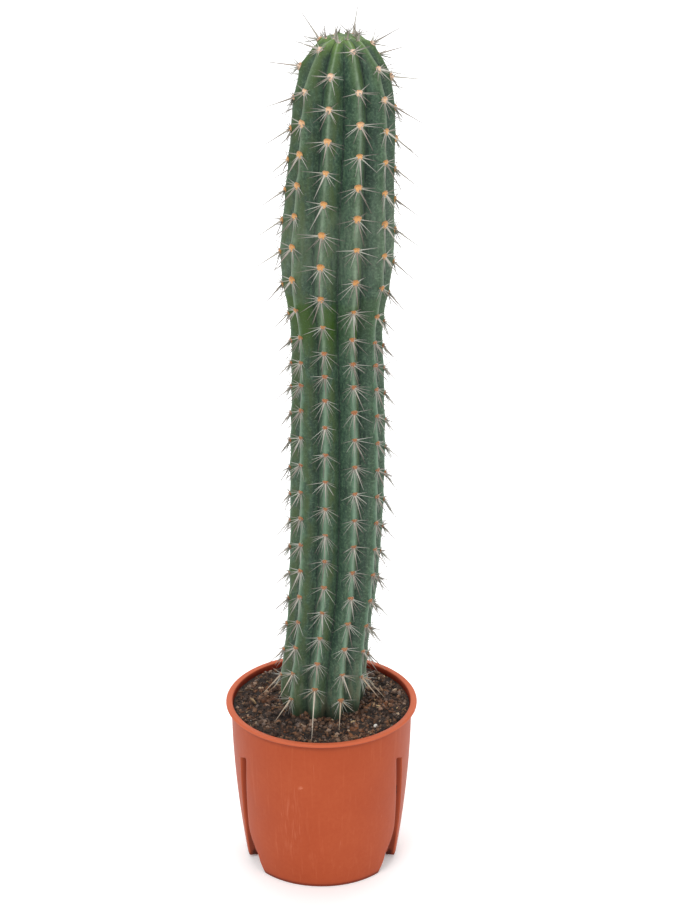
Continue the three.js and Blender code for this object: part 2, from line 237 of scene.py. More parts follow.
def polar(radius, angle, z):
    """A point at an angle from the front, anticlockwise seen from above."""
    return (radius * math.sin(angle), -radius * math.cos(angle), z)


def circle(sides, radius, z, x=0.0, y=0.0):
    angles = [TURN * k / sides for k in range(sides)]
    return [(x + radius * math.cos(a), y + radius * math.sin(a), z) for a in angles]


def wall_radius(z):
    rise = min(max(z, 0) / (POT_HEIGHT - LIP_HEIGHT), 1)
    return BASE_RADIUS + (SHOULDER_RADIUS - BASE_RADIUS) * (1 - (1 - rise) ** WALL_BULGE)


def side_edge(z):
    """Angle in degrees of a groove's edge on the side wall."""
    return GROOVE_FOOT_ANGLE - GROOVE_DRIFT * min(z, GROOVE_TOP)


def panel_edge(z):
    """Angle in degrees of a groove's edge on the foot panel, whose lower corners curve in."""
    corner = FOOT_CORNER_CUT * max(0, 1 - z / FOOT_CORNER_HEIGHT) ** FOOT_CORNER_POWER
    return side_edge(z) - GROOVE_WIDTH - corner - NOTCH_CUT * bell(z, FOOT_BLEND, NOTCH_SPREAD)


def crest_radius(z):
    """Radius of a rib's crest; z in metres."""
    radius = along(GIRTH, z / MM) * MM + SKIN_PROUD
    if z < CROWN_START:
        return radius
    rise = min((z - CROWN_START) / (CROWN_TOP - CROWN_START), 1)
    return (radius - CROWN_TUCK * smooth(0, 0.3, rise)) * (1 - rise ** CROWN_POWER) ** CROWN_FLATNESS


def crest_slope(z):
    """How far a crest leans in from the vertical, in radians."""
    return math.atan((crest_radius(z - MM) - crest_radius(z + MM)) / (2 * MM))


def lean(z):
    return along(LEAN, z / MM) * MM


def areole_rows():
    """Heights in metres where ribs carry areoles: even rows on even ribs, odd rows on odd ribs."""
    rows = []
    z = FIRST_AREOLE
    while z < LAST_FULL_ROW:
        rows.append((z + (NEIGHBOUR_SHIFT if len(rows) % 2 else 0)) * MM)
        pitch = AREOLE_PITCH + (UPPER_PITCH if z > WAIST_PITCH[0] else 0)
        for height, spread, change in (WAIST_PITCH, SURGE_PITCH):
            pitch += change * bell(z, height, spread)
        z += pitch / 2 * math.cos(crest_slope(z * MM))
    return rows + [z * MM for z in CROWN_ROWS]


AREOLE_ROWS = areole_rows()
# the crest's outline: heights, and the length of skin up to each of them
HEIGHTS = np.linspace(STEM_FOOT, CROWN_TOP, OUTLINE_STEPS)
SKIN_LENGTHS = np.concatenate(
    ([0], np.cumsum(np.hypot(np.diff(HEIGHTS), np.diff([crest_radius(z) for z in HEIGHTS])))))


def skin_length(z):
    return float(np.interp(z, HEIGHTS, SKIN_LENGTHS))


ROW_LENGTHS = [[skin_length(row) for row in AREOLE_ROWS[rib % 2::2]] for rib in range(2)]


def above_bud(rib, z):
    """Length of skin from a rib's nearest areole up to a height; negative below the areole."""
    place = skin_length(z)
    return place - min(ROW_LENGTHS[rib % 2], key=lambda row: abs(row - place))


def rib_angle(rib, across, z):
    """Angle from the front, in radians; across runs from -1 to 1, valley to valley over a rib's crest."""
    return TURN * (rib + 0.5 + across / 2) / RIBS + math.radians(along(TWIST, z / MM))


def skin_point(rib, across, z):
    """A point of the skin, with the areoles' relief."""
    angle = rib_angle(rib, across, z)
    ends = min(z - STEM_FOOT, CROWN_TOP - z) / TILT_FADE
    height = z + TILT * math.sin(angle) * min(1, max(0, ends))
    bud = bell(above_bud(rib, z), 0, BUD_REACH)
    knobbly = (1 + KNOBS * smooth(*CROWN, z)) * min(1, crest_radius(height) / KNOB_RADIUS)
    relief = ((AREOLE_RISE + SADDLE_DROP) * bud - SADDLE_DROP) * bell(across, 0, BUD_WIDTH) * knobbly
    rounding = CREST_ROUNDING + BUD_ROUNDING * bud
    share = (math.hypot(across, rounding) - rounding) / (math.hypot(1, rounding) - rounding)
    fall = RIB_DEPTH * (share - VALLEY_FILL * bell(1 - abs(across), 0, VALLEY_WIDTH))
    x, y, _ = polar(crest_radius(height) * (1 - fall) + relief, angle, 0)
    return Vector((x + lean(height), y, height))


# ---- mesh helpers

def new_object(name, data, material=None):
    piece = bpy.data.objects.new(name, data)
    bpy.context.scene.collection.objects.link(piece)
    if material:
        data.materials.append(material)
    return piece


def shade_faces(mesh, smoothly=True):
    mesh.polygons.foreach_set("use_smooth", [smoothly] * len(mesh.polygons))


def new_mesh(name, points, faces=()):
    mesh = bpy.data.meshes.new(name)
    mesh.from_pydata(points, [], faces)
    shade_faces(mesh)
    return mesh


def write_marks(mesh, marks):
    """Turns each point's marks, numbers or vectors, into attributes; its place is no mark."""
    for key in marks[0]:
        if key != "point":
            values = np.array([mark[key] for mark in marks], float)
            kind, field = ("FLOAT_VECTOR", "vector") if values.ndim > 1 else ("FLOAT", "value")
            mesh.attributes.new(key, kind, "POINT").data.foreach_set(field, values.ravel())


def loft(name, start, rings, end, marks=None, material=None):
    """A closed skin over rings of points that run outwards and up, with a pole at each end."""
    rings = np.asarray(rings, float)
    rows, columns = rings.shape[:2]
    points = [tuple(start), *map(tuple, rings.reshape(-1, 3)), tuple(end)]
    sides = [(j, (j + 1) % columns) for j in range(columns)]
    faces = [(0, 1 + k, 1 + j) for j, k in sides]
    for low in range(1, 1 + (rows - 1) * columns, columns):
        high = low + columns
        faces += [(low + j, low + k, high + k, high + j) for j, k in sides]
    top = len(points) - 1 - columns
    faces += [(top + j, top + k, len(points) - 1) for j, k in sides]
    mesh = new_mesh(name, points, faces)
    if marks:
        write_marks(mesh, [marks[0], *marks, marks[-1]])
    return new_object(name, mesh, material)


def evaluated(piece):
    """A plain mesh of what a piece's modifiers show."""
    graph = bpy.context.evaluated_depsgraph_get()
    return bpy.data.meshes.new_from_object(piece.evaluated_get(graph))


def remove(*objects):
    for piece in objects:
        bpy.data.objects.remove(piece, do_unlink=True)


# ---- node helpers

def feed(node, inputs):
    """Sets a node's inputs to values, or links them to sockets or to other nodes' first outputs."""
    for key, value in inputs.items():
        if isinstance(value, bpy.types.Node):
            value = value.outputs[0]
        if isinstance(value, bpy.types.NodeSocket):
            node.id_data.links.new(value, node.inputs[key])
        else:
            node.inputs[key].default_value = value


def add(tree, kind, inputs={}, **settings):
    node = tree.nodes.new(kind)
    for key, value in settings.items():
        setattr(node, key, value)
    feed(node, inputs)
    return node


def maths(operation, a, b, clamp=False):
    return add(a.id_data, "ShaderNodeMath", {0: a, 1: b}, operation=operation, use_clamp=clamp).outputs[0]


def times(a, b):
    return maths("MULTIPLY", a, b)


def remap(value, low, high, to_low=0.0, to_high=1.0):
    inputs = {0: value, 1: low, 2: high, 3: to_low, 4: to_high}
    return add(value.id_data, "ShaderNodeMapRange", inputs, clamp=True).outputs[0]


def mix(factor, a, b):
    inputs = {0: factor, 6: a, 7: b}
    return add(factor.id_data, "ShaderNodeMix", inputs, data_type="RGBA", blend_type="MIX").outputs[2]


def fuzz(vector, scale, detail=4.0, roughness=0.55):
    """Grey noise around 0.5."""
    inputs = {"Vector": vector, "Scale": scale, "Detail": detail, "Roughness": roughness}
    return add(vector.id_data, "ShaderNodeTexNoise", inputs).outputs["Fac"]


def srgb(*screen):
    """A colour given as it shows on a screen, 0 to 255, as linear light."""
    parts = [c / 255 for c in screen]
    return (*[c / 12.92 if c <= 0.04045 else ((c + 0.055) / 1.055) ** 2.4 for c in parts], 1.0)


def ramp(factor, stops, interpolation="LINEAR"):
    """A colour ramp through stops: a place and the colour there."""
    node = add(factor.id_data, "ShaderNodeValToRGB", {0: factor})
    band = node.color_ramp
    band.interpolation = interpolation
    while len(band.elements) < len(stops):
        band.elements.new(0.5)
    for element, (place, *screen) in zip(band.elements, stops):
        element.position = place
        element.color = srgb(*screen)
    return node.outputs[0]


def group_tree(name, kind, inputs, outputs):
    """An empty node group: its tree, its input sockets, its output node and its sockets' identifiers."""
    tree = bpy.data.node_groups.new(name, kind)
    ids = {}
    for sockets, side in ((inputs, "INPUT"), (outputs, "OUTPUT")):
        for label, what in sockets.items():
            socket = tree.interface.new_socket(label, in_out=side, socket_type=f"NodeSocket{what}")
            ids[side, label] = socket.identifier
    return tree, tree.nodes.new("NodeGroupInput").outputs, tree.nodes.new("NodeGroupOutput"), ids


def grain_group():
    """Fine surface grain: a normal, and a mask of small pale specks."""
    tree, given, sink, _ = group_tree(
        "fine_grain", "ShaderNodeTree",
        {"Vector": "Vector", "Scale": "Float", "Height": "Float", "Speck": "Float"},
        {"Normal": "Vector", "Specks": "Float"})
    fine = fuzz(given["Vector"], given["Scale"], 3.0)
    broad = fuzz(given["Vector"], times(given["Scale"], 0.22), 2.0)
    height = maths("ADD", fine, times(broad, 1.6))
    bump = add(tree, "ShaderNodeBump", {"Height": height, "Distance": given["Height"], "Strength": 1.0})
    specks = maths("MULTIPLY", maths("SUBTRACT", fine, given["Speck"]), 12.0, clamp=True)
    feed(sink, {"Normal": bump, "Specks": specks})
    return tree


def patina_group():
    """Uneven colour: a base colour drifting between a darker and a paler one in soft patches."""
    tree, given, sink, _ = group_tree(
        "soft_patches", "ShaderNodeTree",
        {"Vector": "Vector", "Scale": "Float", "Dark": "Color", "Base": "Color", "Pale": "Color"},
        {"Color": "Color", "Patch": "Float"})
    patch = fuzz(given["Vector"], given["Scale"], 5.0, 0.6)
    colour = mix(remap(patch, 0.5, 0.28), given["Base"], given["Dark"])
    colour = mix(remap(patch, 0.5, 0.72), colour, given["Pale"])
    feed(sink, {"Color": colour, "Patch": patch})
    return tree


GRAIN = grain_group()
PATCHES = patina_group()


# ---- materials

class Paint:
    """A material on object coordinates, whose colour is laid on in layers by masks from 0 to 1."""

    def __init__(self, name, colour=None):
        self.made = bpy.data.materials.new(name)
        self.made.use_nodes = True
        self.tree = self.made.node_tree
        self.tree.nodes.clear()
        self.shader = add(self.tree, "ShaderNodeBsdfPrincipled")
        add(self.tree, "ShaderNodeOutputMaterial", {"Surface": self.shader}, is_active_output=True)
        self.place = add(self.tree, "ShaderNodeTexCoord").outputs["Object"]
        self.colour = colour

    def mark(self, name):
        return add(self.tree, "ShaderNodeAttribute", attribute_name=name).outputs["Fac"]

    def streaks(self, scale, detail=4.0, roughness=0.55, turn=0.0):
        """Grey noise with a scale for each axis, turned a little about Y."""
        inputs = {"Vector": self.place, "Rotation": (0.0, turn, 0.0), "Scale": scale}
        return fuzz(add(self.tree, "ShaderNodeMapping", inputs).outputs[0], 1.0, detail, roughness)

    def use(self, group, scale, **inputs):
        inputs = {"Vector": self.place, "Scale": scale, **inputs}
        return add(self.tree, "ShaderNodeGroup", inputs, node_tree=group).outputs

    def patches(self, scale, dark, base, pale):
        return self.use(PATCHES, scale, Dark=srgb(*dark), Base=srgb(*base), Pale=srgb(*pale))

    def grain(self, scale, height, speck):
        return self.use(GRAIN, scale, Height=height, Speck=speck)

    def lay(self, screen, amount, mask, low=0.0, high=1.0):
        """Lays a colour on, up to an amount, where a mask runs from low to high."""
        self.colour = mix(remap(mask, low, high, 0, amount), self.colour, srgb(*screen))

    def finish(self, grain, roughness, more={}):
        inputs = {"Base Color": self.colour, "Normal": grain["Normal"], "Roughness": roughness}
        feed(self.shader, {**inputs, **more})
        return self.made


def pot_plastic():
    """Satin terracotta plastic: faint mottling, drawn streaks, pale scuffs, painted highlights on edges,
    painted shade in grooves, under the lip and low down, and on the inside with soil dust.
    """
    paint = Paint("pot_plastic")
    rub_place = (-0.0203, -0.0857, 0.1185)  # a small pale rub on the front
    score_place = (-0.029, -0.08, 0.078)  # the middle of some faint upright scratches
    patches = paint.patches(16.0, (165, 71, 36), (170, 75, 40), (174, 80, 45))
    fine = fuzz(paint.place, 260.0, 5.0, 0.7)
    scratches = paint.streaks((700, 700, 22), 1.0, turn=0.14)
    scuffs = fuzz(paint.place, 120.0, 6.0, 0.7)
    rubbed = add(paint.tree, "ShaderNodeVectorMath", {0: paint.place, 1: rub_place}, operation="DISTANCE")
    rubbed = maths("ADD", rubbed.outputs["Value"], times(scuffs, 0.014))
    scored = add(paint.tree, "ShaderNodeVectorMath", {0: paint.place, 1: score_place}, operation="SUBTRACT")
    scored = add(paint.tree, "ShaderNodeMapping", {"Vector": scored, "Scale": (1.6, 1.0, 0.45)})
    scored = add(paint.tree, "ShaderNodeVectorMath", {0: scored}, operation="LENGTH")
    scored = times(remap(scored.outputs["Value"], 0.022, 0.008), remap(scratches, 0.5, 0.7))
    shade = paint.mark("shade")
    inside = paint.mark("inside")
    paint.colour = patches["Color"]
    paint.lay((160, 64, 32), 0.3, fine, 0.62, 0.36)
    paint.lay((196, 106, 72), 0.3, paint.streaks((260, 260, 9), 3.0), 0.58, 0.8)
    paint.lay((206, 126, 98), 0.35, scratches, 0.75, 0.82)
    paint.lay((214, 146, 122), 0.5, scuffs, 0.73, 0.79)
    paint.lay((218, 138, 108), 0.5, rubbed, 0.0095, 0.0065)
    paint.lay((198, 112, 82), 0.35, scored)
    # painted shade: the grooves darker
    paint.lay((140, 56, 33), 0.85, paint.mark("sunk"), 0.15, 0.9)
    # painted highlight on the lip and on the panels' rolled edges
    paint.lay((208, 108, 74), 0.6, paint.mark("edge"))
    # painted shade under the lip, along the bottom, in the notches and low in the grooves; deeper where the
    # mark passes 1
    paint.lay((138, 56, 31), 0.75, shade)
    paint.lay((64, 24, 12), 0.95, shade, 1.0, 2.0)
    # the inside in painted shade, then specks of soil dust on it
    paint.lay((140, 50, 32), 0.9, inside, 0.0, 0.9)
    paint.lay((62, 42, 34), 0.35, times(inside, remap(fine, 0.42, 0.6)))
    rough = remap(patches["Patch"], 0.3, 0.7, 0.44, 0.54)
    return paint.finish(paint.grain(420.0, 0.00006, 0.8), rough, {"Specular IOR Level": 0.17})


def stem_skin():
    """Waxy skin: dark blue-green flanks, olive beside each crest, a pale line on it, a fresh green waist;
    painted shade in the valleys and, with soil stain, at the foot.
    """
    paint = Paint("cactus_skin")
    crest, height, olive = map(paint.mark, ("crest", "height", "olive"))
    flank = paint.patches(60.0, (41, 64, 53), (55, 81, 64), (70, 97, 78))
    ridge = paint.patches(90.0, (46, 72, 44), (60, 88, 58), (84, 112, 84))
    streaks = paint.streaks((420, 420, 16), 4.0, 0.65)
    mottle = fuzz(paint.place, 420.0, 3.0, 0.7)
    warm = paint.streaks((110, 110, 40), 3.0)
    wax = paint.streaks((240, 240, 60))
    paint.colour = mix(remap(crest, 0.4, 0.9), flank["Color"], ridge["Color"])
    paint.lay((34, 52, 42), 0.6, streaks, 0.5, 0.26)
    paint.lay((92, 116, 92), 0.6, streaks, 0.54, 0.78)
    paint.lay((32, 48, 40), 0.7, mottle, 0.49, 0.34)
    paint.lay((100, 126, 98), 0.6, mottle, 0.52, 0.68)
    paint.lay((92, 130, 108), 0.5, times(remap(crest, 0.7, 0.92), remap(height, 0.62, 0.52)))
    paint.lay((64, 82, 38), 0.8, times(olive, remap(warm, 0.38, 0.56)))
    waist = times(paint.mark("waist"), remap(warm, 0.3, 0.5, 0.75, 1.0))
    paint.lay((50, 80, 6), 0.95, times(waist, remap(olive, 0.0, 0.7, 0.3, 1.0)))
    young = times(remap(height, 0.80, 0.84), remap(crest, 0.3, 0.75))
    paint.lay((80, 108, 54), 0.5, young)
    newest = times(remap(height, 0.842, 0.852), remap(warm, 0.4, 0.6, 0.4, 1.0))
    paint.lay((104, 134, 64), 0.8, newest)
    # painted shade: the valleys darker
    paint.lay((24, 38, 36), 0.65, crest, 0.12, 0.02)
    bloom = times(remap(height, 0.61, 0.65), remap(height, 0.73, 0.68))
    bloom = maths("ADD", bloom, remap(height, 0.25, 0.19))
    paint.lay((146, 160, 138), 0.22, times(bloom, remap(wax, 0.4, 0.6, 0.3, 1.0)))
    paint.lay((172, 190, 166), 0.72, times(paint.mark("line"), remap(wax, 0.3, 0.55, 0.3, 1.0)))
    grain = paint.grain(900.0, 0.00014, 0.62)
    paint.lay((132, 154, 132), 0.3, grain["Specks"])
    corky = times(remap(height, 0.24, 0.17), remap(wax, 0.5, 0.7))
    paint.lay((122, 110, 84), 0.6, corky)
    # darker at the foot: partly soil stain, partly painted contact shade
    soil_stain_and_shade = times(remap(height, 0.184, 0.17), remap(wax, 0.3, 0.5, 0.5, 1.0))
    paint.lay((30, 38, 28), 0.75, soil_stain_and_shade)
    return paint.finish(grain, remap(wax, 0.3, 0.7, 0.42, 0.58), {"Specular IOR Level": 0.4})


def areole_felt():
    """Short wool: rust low down, golden tan above the waist, pale pink on the crown; darker at its top."""
    paint = Paint("areole_felt")
    paint.colour = ramp(remap(paint.mark("height"), 0.18, 0.86), [
        (0.0, 148, 100, 66), (0.3, 146, 92, 58), (0.54, 158, 94, 54), (0.66, 204, 144, 80),
        (0.86, 222, 166, 104), (0.94, 236, 202, 174), (1.0, 240, 206, 186),
    ])
    upward = paint.mark("upward")
    wool = fuzz(paint.place, 1400.0, 3.0, 0.7)
    paint.lay((168, 108, 78), 0.5, paint.mark("tone"), 0.4, 1.0)
    paint.lay((176, 112, 44), 0.75, upward, 0.35, 0.8)
    paint.lay((190, 164, 142), 0.6, upward, -0.3, -0.9)
    paint.lay((246, 216, 176), 0.45, wool, 0.5, 0.75)
    paint.lay((126, 70, 40), 0.6, wool, 0.42, 0.25)
    return paint.finish(paint.grain(1800.0, 0.0004, 0.7), 0.95, {"Sheen Weight": 0.3})


def spine_horn():
    """Horny spines: pale grey shafts, brown roots, dusky points, whiter on old growth."""
    paint = Paint("spine_horn")
    shaft, height, tone = map(paint.mark, ("shaft", "height", "tone"))
    old = ramp(shaft, [(0.0, 122, 98, 78), (0.14, 150, 152, 140), (0.8, 160, 158, 150), (1.0, 116, 102, 94)])
    new = ramp(shaft, [(0.0, 158, 122, 94), (0.14, 164, 164, 150), (0.65, 152, 148, 140), (1.0, 100, 82, 78)])
    long = ramp(shaft, [(0.0, 150, 118, 96), (0.15, 180, 172, 160), (0.55, 156, 144, 134), (1.0, 84, 68, 64)])
    tan = ramp(shaft, [(0.0, 168, 134, 100), (0.5, 196, 172, 142), (1.0, 172, 146, 120)])
    short = mix(remap(height, 0.5, 0.7), old, new)
    stout = mix(remap(height, 0.24, 0.2), long, tan)
    paint.colour = mix(paint.mark("stout"), short, stout)
    paint.lay((214, 216, 206), 0.45, tone, 0.5, 1.0)
    paint.lay((104, 96, 86), 0.7, tone, 0.45, 0.0)
    return paint.finish(paint.grain(1500.0, 0.00008, 0.7), 0.55)


def soil_bed():
    paint = Paint("soil_bed")
    paint.colour = paint.patches(160.0, (26, 21, 19), (44, 35, 30), (76, 60, 50))["Color"]
    paint.lay((104, 62, 34), 0.6, fuzz(paint.place, 55.0, 3.0), 0.56, 0.70)
    return paint.finish(paint.grain(700.0, 0.0009, 0.72), 0.95)


def soil_crumb(name, stops, scale):
    """Loose bits whose colour is picked by each bit's own tone, tinted where rusty peat lies."""
    paint = Paint(name)
    paint.colour = ramp(paint.mark("tone"), stops, "CONSTANT")
    hollow = fuzz(paint.place, 110.0, 2.0)
    grain = paint.grain(1500.0, 0.0003, 0.72)
    paint.lay((138, 78, 36), 0.75, paint.mark("rusty"))
    paint.lay((30, 24, 21), 0.5, fuzz(paint.place, scale), 0.46, 0.75)
    paint.lay((28, 22, 19), 0.6, fuzz(paint.place, 38.0, 2.0), 0.5, 0.38)
    paint.lay((30, 23, 20), 0.75, hollow, 0.48, 0.34)
    paint.lay((136, 112, 94), 0.5, hollow, 0.54, 0.7)
    paint.lay((150, 136, 122), 0.3, grain["Specks"])
    return paint.finish(grain, 0.9)


# ---- pot

def quarter_columns():
    """Lines of points up the wall, from the front to the side: panel, its rolled edge, groove, side wall.

    Each has its angle, as shares of the panel's edge and the side wall's edge and as degrees besides, its
    depth in the groove, its start above the ground and its share of the rise of the groove's upper end.
    """
    columns = [(f, 0, -f * PANEL_ROLL, 0.0, 0.0, max(0, 6 * f - 5)) for f in np.linspace(0, 1, 25)[:-1]]
    for t in np.radians([0, 18, 36, 52, 66, 80]):
        columns.append((1, 0, PANEL_ROLL * (math.sin(t) - 1), 0.5 * (1 - math.cos(t)), 0.0, 1.0))
    for shift, depth in ((0.12, 0.75), (0.3, 0.94), (0.7, 1.0)):
        columns.append((1, 0, shift, depth, NOTCH_TOP, 0.95))
    for f in (0.3, 0.65):
        columns.append((1 - f, f, 0, 1.0, NOTCH_TOP, 1 - f))
    for shift, depth in ((1.15, 1.0), (1.1, 1.0), (0.75, 1.0), (0.45, 0.93), (0.36, 0.3), (0.25, 0.08),
                         (0, 0.0)):
        lift = NOTCH_TOP if shift > 1.1 else SIDE_LIFT
        columns.append((0, 1, -shift, depth, lift, shift / GROOVE_WIDTH))
    return columns + [(0, 1 - f, 90 * f, 0.0, SIDE_LIFT, 0.0) for f in np.linspace(0, 1, 8)[1:-1]]


def pot_columns():
    """The quarter's columns mirrored to the half, and the half's turned round."""
    quarter = quarter_columns()
    back = [(-panel, -side, 180 - turn, *rest) for panel, side, turn, *rest in quarter[:0:-1]]
    half = quarter + [(0, 0, 90, 0.0, SIDE_LIFT, 0.0)] + back
    return half + [(panel, side, 180 + turn, *rest) for panel, side, turn, *rest in half]


COLUMNS = pot_columns()


def column_height(z, lift, rise):
    """Where a column passes a row: the lowest rows close up, and those at the groove's end slope."""
    if lift and z < FOOT_BLEND:
        z = lift + z * (FOOT_BLEND - lift) / FOOT_BLEND
    return z + GROOVE_RISE * rise * (1 - smooth(*RISE_FADE, abs(z - GROOVE_TOP)))


# a row of the pot's section where it says nothing else: it lies inside the wall's face by its inset, or at
# its radius; then its points' marks, and whether it is level all round and whether it is under the floor
# edge marks a painted highlight, inside the inner faces' painted shade with soil dust, shade painted shade
PLAIN_ROW = {"radius": None, "inset": 0.0, "edge": 0.0, "inside": 0.0, "shade": 0.0, "flat": False,
             "under": False}


def pot_profile():
    """The wall's section from the underside's middle, out, up, over the lip, down and in."""
    shoulder = POT_HEIGHT - LIP_HEIGHT
    rows = []

    def row(z, radius=None, **given):
        rows.append({**PLAIN_ROW, "z": z, "radius": radius, **given})

    def wall(base, heights, **given):
        for z in heights:
            row(base + z * MM, **given)

    # the underside and the foot's inner face: painted shade
    for radius in (15, 30, 45, 58, 66):
        row(FLOOR_UNDERSIDE, radius * MM, inside=0.6, flat=True)
    for drop, inset in ((0, 0.6), (0.5, 0)):
        row(FLOOR_UNDERSIDE - drop * MM, inset=FOOT_WALL + inset * MM, inside=0.6, flat=True)
    wall(0, (6, 1.2, 0.4), inset=FOOT_WALL, inside=0.6, under=True)
    row(0, inset=FOOT_WALL - 0.5 * MM, inside=0.3)
    # painted shade along the bottom edge
    for z, inset, shade in ((0, 0.7, 1.4), (0.2, 0.2, 1.4), (0.7, 0, 1.5), (1.4, 0, 1.45), (2.2, 0, 1.4),
                            (3, 0, 1.1), (4, 0, 0.2)):
        row(z * MM, inset=inset * MM, shade=shade)
    wall(0, (6, 8, 10, 12, 15, 18, 22, 27, 33, 40, 48, 56, 65, 74, 83, 92, 101, 110, 118, 123))
    wall(GROOVE_TOP, (-0.9, -0.5, -0.25, 0, 0.25, 0.5, 0.9))
    wall(0, (130, 136, 143, 150, 157, 162))
    # under the lip: painted shade
    for z, radius, shade in ((-5, None, 0.15), (-2.4, None, 0.5), (-1, SHOULDER_RADIUS + 0.2 * MM, 0.9),
                             (-0.2, SHOULDER_RADIUS + 0.9 * MM, 1.0), (0.5, RIM_RADIUS - 2.9 * MM, 1.0),
                             (1.4, RIM_RADIUS - 1.5 * MM, 0.9), (2.4, RIM_RADIUS - 0.6 * MM, 0.6)):
        row(shoulder + z * MM, radius, shade=shade)
    # the lip's round: painted highlight, with painted shade on its lower side
    for turn in range(-15, 91, 15):
        reach = math.radians(turn)
        row(POT_HEIGHT - LIP_ROUNDING + LIP_ROUNDING * math.sin(reach),
            RIM_RADIUS - LIP_ROUNDING + LIP_ROUNDING * math.cos(reach),
            edge=1.0, shade=max(0.0, 0.3 - 0.012 * (turn + 15)))
    # the lip's top: painted highlight, then painted shade going inside
    for z, reach, edge, inside in ((0.05, 0.4, 0.9, 0.0), (0.3, -0.5, 0.7, 0.0), (0.9, -1.1, 0.0, 0.7),
                                   (3.4, -1.5, 0.0, 1.0)):
        row(POT_HEIGHT - z * MM, SHOULDER_RADIUS + reach * MM, edge=edge, inside=inside)
    # the inner wall and floor: painted shade
    wall(0, (165, 160, 152, 142, 134), inset=WALL, inside=1.0)
    wall(GROOVE_TOP + WALL, (1, 0.5, 0, -0.5, -1), inset=WALL, inside=1.0)
    wall(0, (118, 105, 92, 78, 64, 52, 40, 30, 22, 17), inset=WALL, inside=1.0)
    row(FLOOR_TOP + 0.6 * MM, inset=WALL, inside=1.0, flat=True)
    row(FLOOR_TOP, inset=WALL + 0.8 * MM, inside=1.0, flat=True)
    for radius in (60, 45, 30, 15):
        row(FLOOR_TOP, radius * MM, inside=1.0, flat=True)
    return rows


def pot_ring(row):
    ring, marks = [], []
    on_wall = row["radius"] is None
    for panel, side, turn, depth, lift, rise in COLUMNS:
        z = row["z"] if row["flat"] else column_height(row["z"], lift, rise)
        if row["under"]:
            z = min(z, FLOOR_UNDERSIDE - UNDER_DROP + row["z"] * UNDER_SPACING)
        end = GROOVE_TOP + GROOVE_RISE * rise + row["inset"]
        share = 1 - smooth(end - GROOVE_STEP, end + GROOVE_STEP, z)
        pressing = depth * share if on_wall else 0.0
        radius = row["radius"] or wall_radius(z) - row["inset"] - GROOVE_DEPTH * pressing
        angle = math.radians(panel * panel_edge(z) + side * side_edge(z) + turn)
        ring.append(polar(radius, angle, z))
        # painted highlight on the panels' rolled edges, stronger near the ground; painted shade in the
        # notches' corners and low in the grooves
        low_down = 1 - smooth(*LOW_DOWN, z)
        roll_highlight = 0.6 + 0.5 * low_down if 0 < depth < 0.4 and on_wall else 0.0
        notch = NOTCH_SHADE * smooth(0.1, 0.7, depth) * (1 - smooth(*NOTCH_SHADE_FADE, z))
        groove = GROOVE_SHADE * low_down * smooth(0.05, 0.3, depth)
        marks.append({
            # the groove's depth, which the material turns into painted shade
            "sunk": min(1.0, 3 * pressing) if row["inset"] < WALL else 0.0,
            "edge": max(row["edge"], roll_highlight * share),
            "inside": row["inside"],
            "shade": max(row["shade"], notch, groove),
        })
    return ring, marks


def make_pot():
    rings, marks = zip(*map(pot_ring, pot_profile()))
    ends = ((0, 0, FLOOR_UNDERSIDE), (0, 0, FLOOR_TOP))
    pot = loft("nursery_pot", ends[0], rings, ends[1], sum(marks, []), pot_plastic())
    cutters = []
    for i in range(DRAIN_HOLES):
        x, y, _ = polar(DRAIN_CIRCLE, TURN * i / DRAIN_HOLES, 0)
        low, high = FLOOR_UNDERSIDE - 3 * MM, FLOOR_TOP + 3 * MM
        rings = [circle(DRAIN_SIDES, DRAIN_RADIUS, z, x, y) for z in (low, high)]
        cutter = loft(f"drain_{i}", (x, y, low), rings, (x, y, high))
        cut = pot.modifiers.new(cutter.name, "BOOLEAN")
        cut.operation = "DIFFERENCE"
        cut.solver = "EXACT"
        cut.object = cutter
        cutters.append(cutter)
    mesh = evaluated(pot)
    pot.modifiers.clear()
    pot.data = mesh
    remove(*cutters)
    mesh.set_sharp_from_angle(angle=math.radians(SHARP_EDGE))
    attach(pot, "root")
    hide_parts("pot")


# ---- stem

def make_stem():
    # places across half a rib, closer together at the crest and the valley
    half = [math.sin(TURN * t) / (2 * TURN) - t for t in np.linspace(0, 1, STEM_COLUMNS // 2 + 1)]
    rings, marks = [], []
    count = int(SKIN_LENGTHS[-1] / STEM_STEP)
    for z in np.interp(np.linspace(0, SKIN_LENGTHS[-1], count)[1:-1], SKIN_LENGTHS, HEIGHTS):
        ring = []
        band = smooth(*WAIST_IN, z) * (1 - smooth(*WAIST_OUT, z))
        fade = min(crest_radius(z) / THIN_STEM, 1)
        for rib in range(RIBS):
            gap = above_bud(rib, z)
            below = math.exp(gap / LINE_REACH) if gap < 0 else 0.25
            for across in half[:0:-1] + [-t for t in half[:-1]]:
                point = skin_point(rib, across, z)
                wobble = sum(noise.noise(point * scale) * size * MM for scale, size in WOBBLES)
                outward = Vector((point.x - lean(z), point.y, 0)).normalized()
                ring.append(point + outward * wobble * fade)
                line = bell(across, 0, LINE_WIDTH) * (0.2 + 0.8 * below)
                marks.append({"crest": 1 - abs(across), "line": line, "waist": band,
                              "olive": bell(across, *OLIVE_PLACE), "height": z})
        rings.append(ring)
    ends = [(lean(z), 0, z) for z in (STEM_FOOT, CROWN_TOP)]
    stem = loft("stem", ends[0], rings, ends[1], marks, stem_skin())
    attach(stem, "root")
    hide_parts("cactus")


# ---- what grows on points

def named(tree, name, kind="FLOAT"):
    return add(tree, "GeometryNodeInputNamedAttribute", {"Name": name}, data_type=kind).outputs["Attribute"]


